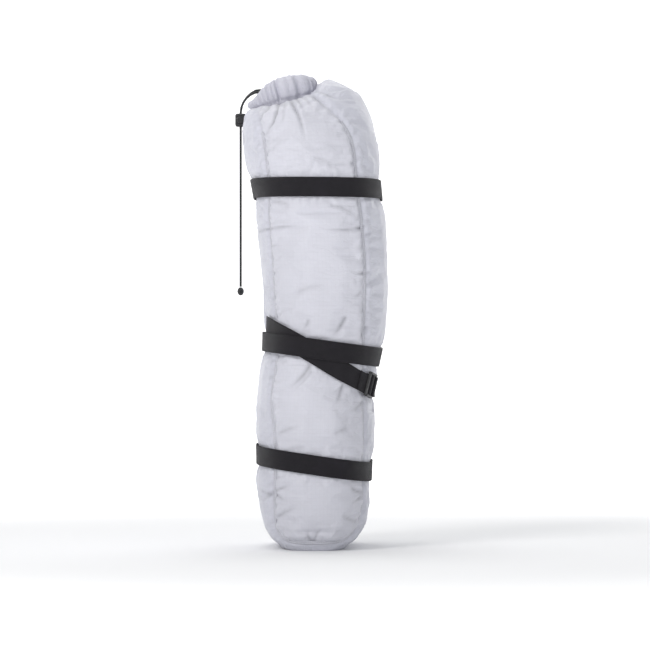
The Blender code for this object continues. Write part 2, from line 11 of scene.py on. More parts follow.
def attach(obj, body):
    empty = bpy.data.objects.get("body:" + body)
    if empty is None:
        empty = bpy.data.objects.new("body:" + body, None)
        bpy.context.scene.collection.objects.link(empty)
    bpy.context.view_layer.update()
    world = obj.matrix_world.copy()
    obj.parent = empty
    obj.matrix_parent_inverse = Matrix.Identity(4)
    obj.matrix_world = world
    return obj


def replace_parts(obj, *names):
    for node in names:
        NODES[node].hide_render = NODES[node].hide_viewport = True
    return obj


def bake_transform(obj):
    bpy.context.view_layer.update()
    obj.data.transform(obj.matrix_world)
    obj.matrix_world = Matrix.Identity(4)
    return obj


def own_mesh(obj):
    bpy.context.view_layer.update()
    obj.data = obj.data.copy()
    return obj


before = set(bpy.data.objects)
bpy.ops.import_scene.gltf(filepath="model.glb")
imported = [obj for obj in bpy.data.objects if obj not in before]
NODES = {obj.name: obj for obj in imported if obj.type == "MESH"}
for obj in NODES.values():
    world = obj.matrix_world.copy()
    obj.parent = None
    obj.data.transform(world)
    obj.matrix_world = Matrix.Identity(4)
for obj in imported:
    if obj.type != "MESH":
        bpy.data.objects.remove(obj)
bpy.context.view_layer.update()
MM = 0.001
RANDOM = np.random.default_rng(12)

# Shape of the sack, in millimetres, as in the CAD model.
SECTIONS = [(0, -40, 38, 102, 3.2), (9, -50, 46, 108, 3.15), (25, -58, 58, 114, 3.1),
            (50, -65, 64, 119, 3.0), (85, -71, 69, 123, 2.9), (140, -72, 71, 125, 2.9),
            (200, -68.5, 71, 125.5, 2.85),
            (255, -62, 83, 126, 2.8), (330, -60, 89, 126, 2.8), (385, -65.5, 87.5, 126, 2.75),
            (430, -71, 85, 125, 2.7), (505, -85, 78.5, 118, 2.6), (545, -88.5, 70, 104, 2.3),
            (568, -88, 63, 88, 2.1), (575, -84, 60, 80, 2.0), (582, -60, 55, 70, 2.0),
            (590, -30, 49, 58, 2.0), (598, 0, 38, 36, 2.0), (605, 10, 20, 12, 2.0)]
HEIGHT = 605.0
SEAM = [(-74, 640), (-74, 575), (-66, 535), (-61, 503), (-56, 424), (-50, 333), (-48, 249), (-54, 195),
        (-50, 150), (-50, 72), (-50, 45), (-47, 28), (-39, 17), (-26, 12), (0, 11), (26, 12), (40, 17),
        (51, 30), (58, 55), (60, 85), (60, 200), (61.5, 290), (62.5, 362), (58, 418), (52, 479),
        (46, 522), (33, 548), (13, 568), (-5, 582), (-5, 640)]
WEB_WIDTH, WEB_LIFT, PLY, CROSSING_LIFT = 25.0, 4.1, 1.9, 2.2
GIRTH_STRAPS = {"upper": (463.5, 0.4), "middle": (258.0, 8.3), "lower": (110.0, 8.8)}
DIAGONAL = (251.0, 32.0)
BUCKLE_LIFT = 8.6
LADDER_TURN, LADDER_LIFT = math.radians(-37), 8.4
COLLAR_CENTRE, COLLAR_TILT = Vector((-42.5, 0, 587)), math.radians(15)
COLLAR_LENGTH, COLLAR_WIDTH = 46, 31
COLLAR = Matrix.Translation(COLLAR_CENTRE) @ Matrix.Rotation(-COLLAR_TILT, 4, "Y")
TAIL_ROUTE = [(-58.5, 25.6, 589.4, 0), (-60.0, 31.5, 589.1, 0), (-62.6, 37, 591.0, 0),
              (-68.5, 40, 594.3, 15), (-76.5, 39, 594.6, 40), (-85, 35.5, 590.2, 65),
              (-91.5, 32, 583.4, 80), (-95.6, 29.5, 575.5, 90), (-97.2, 28.2, 567.5, 90),
              (-97.4, 28, 560, 90), (-97.4, 28, 540, 90),
              (-97.4, 28, 500, 90), (-97.4, 28, 440, 90), (-97.4, 28, 380, 90), (-97.4, 28, 338, 90)]
TAIL_HALF_SPACING, TAIL_STEP, CORD_DIAMETER = 1.9, 7.5, 0.003


# ---- camera, room and light ----

def camera_and_room():
    scene = bpy.context.scene
    scene.view_settings.view_transform = "Standard"
    data = bpy.data.cameras.new("camera")
    data.lens = 210
    data.sensor_width = 36
    camera = bpy.data.objects.new("camera", data)
    camera.location = (0.013, -4.935, 0.288)
    camera.rotation_euler = (math.pi / 2, 0, 0)
    scene.collection.objects.link(camera)
    scene.camera = camera

    straight, radius = 5.5, 2.5
    profile = [(-9.0, 0.0), (straight, 0.0)]
    for a in np.linspace(0.08, math.pi / 2, 20):
        profile.append((straight + radius * math.sin(a), radius - radius * math.cos(a)))
    profile.append((straight + radius, 7.0))
    points = [(x, y, z) for x in (-9, 9) for y, z in profile]
    count = len(profile)
    faces = [(i, count + i, count + i + 1, i + 1) for i in range(count - 1)]
    mesh = bpy.data.meshes.new("backdrop")
    mesh.from_pydata(points, [], faces)
    mesh.shade_smooth()
    sweep = bpy.data.objects.new("backdrop", mesh)
    scene.collection.objects.link(sweep)
    paint = Paint("backdrop", roughness=0.9)
    paint.set(Base_Color=(0.93, 0.93, 0.935, 1), Specular_IOR_Level=0.1, Emission_Color=(1, 1, 1, 1))
    distance = paint.node("VectorMath", {0: paint.place()}, out="Value", operation="LENGTH")
    paint.set(Emission_Strength=paint.ramp(distance, 0.5, 2.0, 0.0, 0.8))
    mesh.materials.append(paint.material)

    world = bpy.data.worlds.new("world")
    world.use_nodes = True
    sky = world.node_tree.nodes["Background"].inputs
    sky["Color"].default_value = (0.96, 0.98, 1.0, 1)
    sky["Strength"].default_value = 0.40
    scene.world = world
    lamps = {"key": ((-1.55, -2.3, 2.0), 1.0, 39, (1, 0.99, 0.98)),
             "fill": ((1.9, -2.4, 0.9), 1.8, 8, (0.97, 0.98, 1)),
             "top": ((-0.3, 0.5, 2.4), 1.2, 16, (1, 1, 1)),
             "back": ((0.9, 2.0, 1.5), 1.8, 9, (1, 1, 1)),
             "low": ((-0.5, -2.6, 0.35), 1.0, 3.5, (1, 1, 1))}
    for name, (place, size, power, colour) in lamps.items():
        lamp = bpy.data.lights.new(name, "AREA")
        lamp.size = size
        lamp.energy = power
        lamp.color = colour
        obj = bpy.data.objects.new(name, lamp)
        obj.location = place
        obj.visible_camera = False
        obj.rotation_euler = (Vector((0, 0, 0.3)) - Vector(place)).to_track_quat("-Z", "Y").to_euler()
        scene.collection.objects.link(obj)


# ---- materials ----

class Paint:
    """A material's nodes, added and joined by short calls."""

    def __init__(self, name, roughness=0.5, metallic=0.0):
        self.material = bpy.data.materials.new(name)
        self.material.use_nodes = True
        self.tree = self.material.node_tree
        self.shader = self.tree.nodes["Principled BSDF"]
        self.shader.inputs["Roughness"].default_value = roughness
        self.shader.inputs["Metallic"].default_value = metallic

    def set(self, **values):
        for name, value in values.items():
            self.join(value, self.shader.inputs[name.replace("_", " ")])

    def join(self, value, socket):
        if isinstance(value, bpy.types.NodeSocket):
            self.tree.links.new(value, socket)
        else:
            socket.default_value = value

    def node(self, kind, inputs=(), out=0, **settings):
        made = self.tree.nodes.new("ShaderNode" + kind)
        for name, value in settings.items():
            setattr(made, name, value)
        for name, value in dict(inputs).items():
            self.join(value, made.inputs[name])
        return made.outputs[out]

    def place(self, kind="Object"):
        return self.node("TexCoord", out=kind)

    def axis(self, vector, name):
        return self.node("SeparateXYZ", {0: vector}, out=name)

    def along(self, name):
        return self.axis(self.place("UV"), name)

    def maths(self, operation, a, b=0.0):
        return self.node("Math", {0: a, 1: b}, operation=operation)

    def times(self, a, b):
        return self.maths("MULTIPLY", a, b)

    def noise(self, vector, scale, detail=3.0, rough=0.5):
        inputs = {"Vector": vector, "Scale": scale, "Detail": detail, "Roughness": rough}
        return self.node("TexNoise", inputs)

    def ramp(self, value, low, high, a=0.0, b=1.0):
        inputs = {0: value, 1: low, 2: high, 3: a, 4: b}
        return self.node("MapRange", inputs, interpolation_type="SMOOTHSTEP")

    def mix(self, share, a, b):
        return self.node("Mix", {0: share, 6: a, 7: b}, out=2, data_type="RGBA")

    def lines(self, value, pitch, width):
        """1 on thin lines that repeat every pitch, 0 between them."""
        near = self.maths("PINGPONG", value, pitch)
        return self.ramp(near, width * 0.5, width * 1.1, 1.0, 0.0)

    def bump(self, height, strength, distance, under=None):
        inputs = {"Height": height, "Strength": strength, "Distance": distance}
        if under is not None:
            inputs["Normal"] = under
        return self.node("Bump", inputs)


def shade(colour, factor):
    return (*(min(1.0, c * factor) for c in colour), 1)


def ripstop(name, colour, crinkle=1.0):
    """Light coated ripstop: a fine square grid of thicker threads, small crinkles, a soft sheen and painted
    shade darkening the creases.
    """
    p = Paint(name)
    place, u, v = p.place(), p.along("X"), p.along("Y")
    rip = p.maths("MAXIMUM", p.lines(u, 0.0024, 0.00026), p.lines(v, 0.0024, 0.00026))
    threads = p.times(p.maths("SINE", p.times(u, 9000.0)),
                      p.maths("SINE", p.times(v, 9000.0)))
    tone = p.noise(place, 9.0, 4.0, 0.6)
    small = p.noise(place, 60.0, 5.0, 0.62)
    base = p.mix(p.ramp(tone, 0.3, 0.7), shade(colour, 0.955), shade(colour, 1.03))
    base = p.mix(p.times(rip, 0.16), base, shade(colour, 0.80))
    base = p.mix(p.ramp(small, 0.55, 0.8, 0.0, 0.22), base, shade(colour, 0.90))
    # Painted shade: the mesh's fold value darkens the cloth in crease valleys, along the seams, in pucker
    # valleys and at the collar's foot.
    fold = p.node("Attribute", out="Fac", attribute_name="fold")
    base = p.mix(p.times(fold, 0.75), base, shade(colour, 0.50))
    stretched = p.node("Mapping", {"Vector": place, "Scale": (1.0, 1.0, 2.3)})
    folds = p.node("TexNoise", {"Vector": stretched, "Scale": 34.0, "Detail": 3.0, "Roughness": 0.55,
                                "Distortion": 0.9})
    ridged = p.maths("ABSOLUTE", p.maths("SUBTRACT", folds, 0.5))
    normal = p.bump(p.maths("POWER", ridged, 0.8), 0.42 * crinkle, 0.0065)
    normal = p.bump(small, 0.20 * crinkle, 0.0022, normal)
    normal = p.bump(rip, 0.35, 0.00016, normal)
    normal = p.bump(threads, 0.12, 0.00008, normal)
    rough = p.ramp(p.noise(place, 22.0, 4.0), 0.3, 0.7, 0.40, 0.56)
    p.set(Base_Color=base, Roughness=rough, Normal=normal)
    p.set(Sheen_Weight=0.18, Sheen_Roughness=0.4, Specular_IOR_Level=0.42)
    return p.material


def seam_tape(name, colour):
    """A felled seam: doubled cloth with a row of stitches near each edge."""
    p = Paint(name, roughness=0.6)
    place, u, v = p.place(), p.along("X"), p.along("Y")
    row = p.lines(p.maths("SUBTRACT", p.maths("ABSOLUTE", v), 0.0012), 0.5, 0.0003)
    stitch = p.times(row, p.ramp(p.maths("PINGPONG", u, 0.0014), 0.0002, 0.0005))
    tone = p.noise(place, 70.0, 4.0)
    base = p.mix(p.ramp(tone, 0.3, 0.7), shade(colour, 0.90), shade(colour, 1.02))
    base = p.mix(p.times(stitch, 0.75), base, shade(colour, 0.62))
    normal = p.bump(tone, 0.35, 0.002)
    normal = p.bump(stitch, 0.9, 0.0005, normal)
    p.set(Base_Color=base, Normal=normal, Sheen_Weight=0.15)
    return p.material


def woven_web(name, colour):
    """Black webbing: ribs of yarn across the tape, plain selvedges, a bar tack and dust on the yarn."""
    p = Paint(name, roughness=0.66)
    place, u, v = p.place(), p.along("X"), p.along("Y")
    slant = p.maths("ADD", u, p.times(p.maths("PINGPONG", v, 0.0021), 0.9))
    rib = p.maths("SINE", p.times(slant, math.tau / 0.0013))
    yarn = p.maths("SINE", p.times(v, math.tau / 0.00105))
    weave = p.times(p.maths("ADD", rib, 1.0), p.maths("ADD", yarn, 1.3))
    edge = p.ramp(p.maths("ABSOLUTE", v), 0.0104, 0.0110)
    fuzz = p.noise(place, 900.0, 2.0)
    wear = p.noise(place, 26.0, 5.0, 0.6)
    base = p.mix(p.ramp(weave, 0.6, 3.6), shade(colour, 0.62), shade(colour, 1.35))
    base = p.mix(p.times(edge, 0.5), base, shade(colour, 0.7))
    base = p.mix(p.ramp(wear, 0.52, 0.82, 0.0, 0.55), base, shade(colour, 2.1))
    base = p.mix(p.ramp(fuzz, 0.55, 0.8, 0.0, 0.35), base, shade(colour, 2.3))
    tack = p.times(p.ramp(u, 0.0026, 0.0030), p.ramp(u, 0.0096, 0.0100, 1.0, 0.0))
    tack = p.times(tack, p.ramp(p.maths("ABSOLUTE", v), 0.0102, 0.0106, 1.0, 0.0))
    zigzag = p.maths("ADD", u, p.maths("PINGPONG", p.times(v, 3.0), 0.0033))
    thread = p.times(tack, p.lines(zigzag, 0.00065, 0.0005))
    base = p.mix(thread, base, shade(colour, 4.2))
    normal = p.bump(weave, 0.55, 0.00022)
    normal = p.bump(wear, 0.15, 0.003, normal)
    normal = p.bump(thread, 0.8, 0.0004, normal)
    p.set(Base_Color=base, Roughness=p.ramp(wear, 0.3, 0.7, 0.6, 0.8), Normal=normal)
    p.set(Sheen_Weight=0.08, Sheen_Roughness=0.5, Specular_IOR_Level=0.25)
    return p.material


def moulded(name, colour):
    """Moulded acetal: a fine spark-eroded grain, soft gloss changes and pale scuffs."""
    p = Paint(name)
    place = p.place()
    grain = p.noise(place, 2600.0, 2.0)
    cloud = p.noise(place, 75.0, 4.0, 0.6)
    scuff = p.node("TexNoise", {"Vector": p.node("Mapping", {"Vector": place, "Scale": (1.0, 1.0, 5.0)}),
                                "Scale": 210.0, "Detail": 4.0, "Roughness": 0.7})
    base = p.mix(p.ramp(cloud, 0.3, 0.7), shade(colour, 0.8), shade(colour, 1.25))
    base = p.mix(p.ramp(scuff, 0.63, 0.8, 0.0, 0.5), base, shade(colour, 3.4))
    rough = p.maths("ADD", p.ramp(cloud, 0.3, 0.7, 0.30, 0.46), p.ramp(scuff, 0.6, 0.8, 0.0, 0.15))
    normal = p.bump(cloud, 0.10, 0.0012)
    normal = p.bump(grain, 0.20, 0.00012, normal)
    p.set(Base_Color=base, Roughness=rough, Normal=normal, Specular_IOR_Level=0.5)
    return p.material


def braided(name, colour):
    """Round braided cord: two crossing spirals of yarn."""
    p = Paint(name, roughness=0.7)
    place = p.place()
    x, y, z = (p.axis(place, a) for a in "XYZ")
    rise = p.times(z, math.tau / 0.0022)
    round_1 = p.times(p.maths("ADD", x, y), math.tau / 0.0016)
    one = p.maths("SINE", p.maths("ADD", rise, round_1))
    two = p.maths("SINE", p.maths("SUBTRACT", rise, round_1))
    braid = p.times(p.maths("ADD", one, 1.0), p.maths("ADD", two, 1.0))
    fuzz = p.noise(place, 700.0, 2.0)
    base = p.mix(p.ramp(braid, 0.3, 3.2), shade(colour, 0.6), shade(colour, 1.8))
    base = p.mix(p.ramp(fuzz, 0.5, 0.8, 0.0, 0.4), base, shade(colour, 2.6))
    normal = p.bump(braid, 0.7, 0.00025)
    p.set(Base_Color=base, Normal=p.bump(fuzz, 0.3, 0.0003, normal), Sheen_Weight=0.3)
    return p.material


def drawn_wire(name):
    p = Paint(name, metallic=1.0)
    place = p.place()
    streak = p.noise(place, 900.0, 3.0)
    p.set(Base_Color=p.mix(p.ramp(streak, 0.3, 0.7), (0.42, 0.42, 0.43, 1), (0.66, 0.66, 0.67, 1)),
          Roughness=p.ramp(streak, 0.3, 0.7, 0.22, 0.4), Normal=p.bump(streak, 0.2, 0.0001))
    return p.material


LAVENDER = (0.605, 0.605, 0.665)
FABRIC = ripstop("ripstop_panel", LAVENDER, 0.6)
# Painted shade: the gusset and the collar are the same lavender cloth as the panels, coloured a little
# darker so they read as shaded.
GUSSET = ripstop("ripstop_gusset", (0.585, 0.588, 0.655), 0.75)
GATHERED = ripstop("ripstop_collar", (0.565, 0.562, 0.63), 0.8)
STUFFING = ripstop("stuffed_cloth", (0.62, 0.60, 0.57))
TAPE = seam_tape("seam_tape", (0.585, 0.585, 0.645))
WEB = woven_web("woven_web", (0.0125, 0.0108, 0.0150))
ACETAL = moulded("acetal", (0.014, 0.014, 0.016))
EYELET = moulded("eyelet_resin", (0.03, 0.03, 0.033))
BRAID = braided("braided_cord", (0.017, 0.017, 0.020))
WIRE = drawn_wire("spring_wire")


# ---- mesh helpers ----

def new_piece(mesh, material):
    mesh.materials.append(material)
    obj = bpy.data.objects.new(mesh.name, mesh)
    bpy.context.scene.collection.objects.link(obj)
    return obj


def mesh_of(name, points, faces, uv=None):
    """A smooth mesh from points in millimetres, with one UV per vertex in metres."""
    mesh = bpy.data.meshes.new(name)
    mesh.from_pydata((np.asarray(points) * MM).tolist(), [], faces)
    if uv is not None:
        layer = mesh.uv_layers.new(name="UVMap")
        corner = np.zeros(len(mesh.loops), np.int32)
        mesh.loops.foreach_get("vertex_index", corner)
        layer.data.foreach_set("uv", np.asarray(uv, np.float32)[corner].ravel())
    mesh.shade_smooth()
    return mesh


def ring_grid(rings, count):
    """Vertex numbers of rings of points, and the quads that join each ring to the next."""
    number = np.arange(rings * count).reshape(rings, count)
    shifted = np.roll(number, -1, axis=1)
    quads = np.stack([number[:-1], shifted[:-1], shifted[1:], number[1:]], axis=2).reshape(-1, 4)
    return number, quads


def unit(vectors):
    """The same directions with a length of 1."""
    return vectors / np.maximum(np.linalg.norm(vectors, axis=-1, keepdims=True), 1e-9)


def travelled_along(line):
    """How far each point of a line lies from its start."""
    return np.concatenate([[0], np.cumsum(np.linalg.norm(np.diff(line, axis=0), axis=1))])


def step(t):
    """A smooth step from 0 to 1."""
    t = np.clip(t, 0, 1)
    return t * t * (3 - 2 * t)


def bell(distance, width):
    """1 in the middle, fading to 0 on both sides."""
    return np.exp(-(np.asarray(distance) / width) ** 2)


def smooth_route(points, spacing):
    """Points spaced evenly on a smooth curve through the given ones."""
    route = np.array(points, float)
    route = np.vstack([2 * route[0] - route[1], route, 2 * route[-1] - route[-2]])
    fine = []
    for p0, p1, p2, p3 in zip(route, route[1:], route[2:], route[3:]):
        for t in np.linspace(0, 1, 12, endpoint=False):
            fine.append(0.5 * (2 * p1 + (p2 - p0) * t + (2 * p0 - 5 * p1 + 4 * p2 - p3) * t**2
                               + (3 * p1 - p0 - 3 * p2 + p3) * t**3))
    fine.append(route[-2])
    fine = np.array(fine)
    along = travelled_along(fine)
    wanted = np.linspace(0, along[-1], max(2, round(along[-1] / spacing)) + 1)
    return np.column_stack([np.interp(wanted, along, fine[:, axis]) for axis in range(fine.shape[1])])


def noise_field(points, scale, seed):
    """Smooth noise between about -1 and 1 at points in millimetres."""
    shift = Vector((seed * 7.3, seed * 3.1, seed * 5.7))
    values = [noise.noise(Vector(p) / scale + shift) for p in points.reshape(-1, 3)]
    return np.array(values).reshape(points.shape[:-1])


# ---- cords ----

def cord_curve(name, points, closed=False):
    """A round cord through points in metres."""
    curve = bpy.data.curves.new(name, "CURVE")
    curve.dimensions = "3D"
    curve.bevel_depth = CORD_DIAMETER / 2
    curve.bevel_resolution = 4 if closed else 5
    curve.use_fill_caps = not closed
    spline = curve.splines.new("POLY")
    spline.points.add(len(points) - 1)
    for target, point in zip(spline.points, points):
        target.co = (*point, 1)
    spline.use_cyclic_u = closed
    curve.materials.append(BRAID)
    cord = bpy.data.objects.new(name, curve)
    bpy.context.scene.collection.objects.link(cord)
    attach(cord, "sack")
    return cord


def tail_route(side):
    """One tail's line in millimetres, beside the other tail."""
    route = []
    for x, y, z, turn in TAIL_ROUTE:
        apart, lean = side * TAIL_HALF_SPACING, math.radians(turn)
        route.append((x, y + apart * math.sin(lean), z + apart * math.cos(lean)))
    return smooth_route(route, TAIL_STEP)


def tails():
    for name, side in (("drawcord_tail_front", -1), ("drawcord_tail_rear", 1)):
        route = tail_route(side) * MM
        cord = cord_curve("braided_" + name, route)
        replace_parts(cord, name)


# ---- the sack's skin ----

def smooth_section(z):
    """Middle, half-width, half-depth and squareness at heights, with the profiles' corners eased."""
    z = np.asarray(z, float)
    heights, *values = (np.array(column, float) for column in zip(*SECTIONS))
    reach = np.clip(np.minimum(z, HEIGHT - z) * 0.7, 0, 12)
    shifts = np.linspace(-1, 1, 9)
    left, right, depth, power = (sum(np.interp(z + t * reach, heights, v) for t in shifts) / len(shifts)
                                 for v in values)
    return (left + right) / 2, (right - left) / 2, depth, power


def ring_turns(count):
    """Turns that space points evenly round the sack at its middle height."""
    _, half, depth, power = smooth_section(250.0)
    t = np.linspace(0, math.tau, 7201)
    x = half * np.sign(np.cos(t)) * np.abs(np.cos(t)) ** (2 / power)
    y = depth * np.sign(np.sin(t)) * np.abs(np.sin(t)) ** (2 / power)
    along = np.concatenate([[0], np.cumsum(np.hypot(np.diff(x), np.diff(y)))])
    return np.interp(np.linspace(0, along[-1], count, endpoint=False), along, t), along[-1]


def levels(spacing):
    """Heights spaced evenly along the sack's outline, closer together where it turns flat."""
    z = np.linspace(0, HEIGHT, 2421)
    middle, half, depth, _ = smooth_section(z)
    run = np.maximum(np.hypot(np.diff(z), np.diff(depth)), np.hypot(np.diff(z), np.diff(middle + half)))
    along = np.concatenate([[0], np.cumsum(run)])
    count = 2 * round(along[-1] / spacing / 2)
    at = np.linspace(0, along[-1], count + 1)
    return np.interp(at, along, z), at


AROUND, FINE, CLOTH_FRAMES = 320, 2.25, 20
UNDER_STRAP, UNDER_LOCK, UNDER_LADDER, FREE_RISE = 2.7, 2.2, 3.6, 5.5
TURNS, GIRTH = ring_turns(AROUND)
LEVELS, RISE = levels(FINE)


def outside(turns, z):
    """The sack's outline at each height, one ring of points a height."""
    middle, half, depth, power = (v[:, None] for v in smooth_section(z))
    c, s = np.cos(turns)[None], np.sin(turns)[None]
    x = middle + half * np.sign(c) * np.abs(c) ** (2 / power)
    y = depth * np.sign(s) * np.abs(s) ** (2 / power)
    return np.dstack([x, y, np.broadcast_to(z[:, None], x.shape)])


# Where the skin meets the collar's foot, as height over X.
NECK_LINE = [(-95, 562), (-84, 564.5), (-72, 567), (-54, 570.5), (-41, 573), (-25, 577), (-16, 580.5),
             (-6, 585.5), (2, 592), (8, 599), (14, 604.5), (22, 611), (40, 640)]


def dipped(points):
    """The skin with its top drawn down to the collar's foot."""
    x, y, z = points[..., 0], points[..., 1], points[..., 2]
    line = np.interp(x, *zip(*NECK_LINE)) - 0.16 * np.maximum(np.abs(y) - 27, 0)
    soft = 5.0
    gap = np.clip((z - line) / soft, -1, 1)
    low = np.where(z > line, line, z)
    lowered = low - soft * (1 - np.abs(gap)) ** 2 / 4
    made = points.copy()
    made[..., 2] = np.where(z > 520, lowered, z)
    return made


def grid_normals(points):
    """Outward directions of a grid of rings."""
    round_way = np.roll(points, -1, axis=1) - np.roll(points, 1, axis=1)
    up_way = np.gradient(points, axis=0)
    return unit(np.cross(round_way, up_way))


def inside_seam(x, z):
    """Whether points in X and Z lie within the U that the seam draws."""
    within = np.zeros(x.shape, bool)
    for (x0, z0), (x1, z1) in zip(SEAM, SEAM[1:] + SEAM[:1]):
        if z0 != z1:
            crossing = ((z0 > z) != (z1 > z)) & (x < (x1 - x0) * (z - z0) / (z1 - z0) + x0)
            within ^= crossing
    return within


def face_depth(x, z):
    """How far the front lies from the sack's middle plane."""
    middle, half, depth, power = smooth_section(np.atleast_1d(z))
    across = np.minimum(np.abs(x - middle) / half, 0.999)
    return depth * (1 - across**power) ** (1 / power)


def seam_field(points):
    """Distance to the nearer seam and the place along it, for each point."""
    route = smooth_route([(x, z) for x, z in SEAM if z < 600], 1.5)
    depth = face_depth(route[:, 0], np.clip(route[:, 1], 0, HEIGHT))
    tree = KDTree(2 * len(route))
    for i, ((x, z), y) in enumerate(zip(route, depth)):
        tree.insert((x, -y, z), i)
        tree.insert((x, y, z), len(route) + i)
    tree.balance()
    found = [tree.find(p)[1:] for p in points.reshape(-1, 3)]
    index = np.array([i % len(route) for i, _ in found]).reshape(points.shape[:-1])
    distance = np.array([d for _, d in found]).reshape(points.shape[:-1])
    return distance, index * 1.5


def strap_offset(points, normals, name):
    """How far points lie above or below a strap's middle, square to it."""
    height, degrees = DIAGONAL if name == "diagonal" else GIRTH_STRAPS[name]
    steep = math.tan(math.radians(degrees))
    return (points[..., 2] - height + points[..., 0] * steep) / np.hypot(1, steep * normals[..., 1])


# Creases of the front: X and Z of both ends, depth and width.
FRONT_CREASES = [
    (-43, 578, -64.5, 524, 2.9, 1.9), (-36, 582, -11, 516, 2.7, 1.8), (-32.5, 582, -10, 558, 2.2, 1.8),
    (-26, 583, 4, 558, 1.3, 1.9), (-9, 589, 36, 573, 1.5, 2.0), (-12, 588, 14, 563, 1.4, 1.9),
    (-53, 575, -78, 543, 1.6, 2.4), (-40, 580, -42, 536, 1.5, 1.9), (-28, 582, 0, 571, 1.2, 1.8),
    (-72, 408, -8, 410, 2.0, 1.8), (62, 413, 5, 411, 1.7, 1.8), (68, 354.5, 40, 356, 1.9, 1.9),
    (39, 298, 19, 271, 2.2, 3.0), (64, 287, 52, 267, 2.0, 3.0), (-7, 295, -18, 279, 1.6, 2.6),
    (-5, 238, -35, 205, 2.0, 3.0), (-2, 232, -30, 202, 1.4, 2.6), (36, 212, 22, 184, 1.8, 3.0),
    (60, 190, 40, 176, 1.3, 2.6), (-46, 232, -60, 214, 1.4, 2.6), (-47, 300, -62, 290, 1.3, 2.4),
    (-52, 74, -30, 84, 2.0, 2.6), (-52, 73, -34, 62, 1.8, 2.4), (-53, 72, -68, 80, 1.6, 2.4),
    (-53, 73, -66, 62, 1.4, 2.4), (58, 74, 40, 86, 1.9, 2.6), (58, 70, 42, 60, 1.6, 2.4),
    (59, 80, 67, 96, 1.4, 2.4), (-46, 44, -20, 56, 1.3, 3.0), (50, 38, 28, 50, 1.3, 3.0),
    (-4, 12, -10, 30, 1.8, 2.6), (-2, 12, 10, 32, 1.6, 2.6), (24, 150, 50, 158, 1.0, 3.0),
    (-44, 150, -14, 160, 1.1, 3.0), (-20, 330, 20, 338, 0.8, 4.0), (20, 440, 48, 428, 1.2, 3.0),
    (-52, 446, -24, 436, 1.2, 3.0), (0, 500, 30, 486, 0.8, 4.0), (58, 330, 46, 322, 1.4, 2.4)
]


def random_creases(count, x_range, z_range):
    """Nearly level creases of varied length, depth and width."""
    made = []
    for _ in range(count):
        x, z = RANDOM.uniform(*x_range), RANDOM.uniform(*z_range)
        turn = RANDOM.uniform(-0.7, 0.7) + (math.pi if RANDOM.random() < 0.5 else 0)
        length = RANDOM.uniform(18, 48)
        depth, width = RANDOM.uniform(0.7, 1.7), RANDOM.uniform(2.4, 4.0)
        made.append((x, z, x + length * math.cos(turn), z + length * math.sin(turn), depth, width))
    return made


def crease_field(across, z, creases):
    """Each crease is a sharp valley between soft ridges, fading at its far end."""
    total = np.zeros(across.shape)
    for x0, z0, x1, z1, depth, width in creases:
        length = math.hypot(x1 - x0, z1 - z0)
        ux, uz = (x1 - x0) / length, (z1 - z0) / length
        t = ((across - x0) * ux + (z - z0) * uz) / length
        bend = 0.06 * length * np.sin(np.clip(t, 0, 1) * math.pi)
        q = -(across - x0) * uz + (z - z0) * ux - bend
        fade = step(t / 0.12 + 0.5) * (1 - step((t - 0.35) / 0.65))
        valley = -1.35 * np.exp(-np.abs(q) / (0.8 * width))
        total += fade * depth * (valley + 0.38 * bell(q - 2.3 * width, 1.5 * width)
                                 + 0.18 * bell(q + 2.3 * width, 1.5 * width))
    return total


def billowed(points, held):
    """The skin after a short cloth simulation under pressure, as how far each point moved."""
    mesh = mesh_of("billow", points.reshape(-1, 3), ring_grid(*points.shape[:2])[1].tolist())
    obj = bpy.data.objects.new("billow", mesh)
    bpy.context.scene.collection.objects.link(obj)
    group = obj.vertex_groups.new(name="held")
    for i, weight in enumerate(held.ravel()):
        if weight > 0.01:
            group.add([i], float(weight), "REPLACE")
    cloth = obj.modifiers.new("cloth", "CLOTH")
    fabric = {"quality": 6, "mass": 0.12, "tension_stiffness": 18, "compression_stiffness": 18,
              "shear_stiffness": 6, "bending_stiffness": 0.12, "use_pressure": True,
              "uniform_pressure_force": 4.0, "shrink_min": -0.05, "vertex_group_mass": "held"}
    for setting, value in fabric.items():
        setattr(cloth.settings, setting, value)
    cloth.settings.effector_weights.gravity = 0
    cloth.collision_settings.use_collision = False
    scene = bpy.context.scene
    cloth.point_cache.frame_start = 1
    cloth.point_cache.frame_end = CLOTH_FRAMES
    for number in range(1, CLOTH_FRAMES + 1):
        scene.frame_set(number)
    graph = bpy.context.evaluated_depsgraph_get()
    evaluated = obj.evaluated_get(graph).to_mesh()
    moved = np.zeros(len(evaluated.vertices) * 3)
    evaluated.vertices.foreach_get("co", moved)
    obj.evaluated_get(graph).to_mesh_clear()
    bpy.data.objects.remove(obj)
    scene.frame_set(1)
    return moved.reshape(points.shape) / MM - points


def doubled(field):
    """A field on every other grid point, filled in smoothly between them."""
    round_way = np.concatenate([field, field[:, :1]], axis=1)
    beyond = np.roll(field, 1, axis=1) + np.roll(field, -2, axis=1)
    middle = (round_way[:, :-1] + round_way[:, 1:]) * 0.5625 - beyond * 0.0625
    wide = np.empty((field.shape[0], field.shape[1] * 2, *field.shape[2:]))
    wide[:, ::2], wide[:, 1::2] = field, middle
    tall = np.empty((field.shape[0] * 2 - 1, *wide.shape[1:]))
    tall[::2], tall[1::2] = wide, (wide[:-1] + wide[1:]) / 2
    return tall


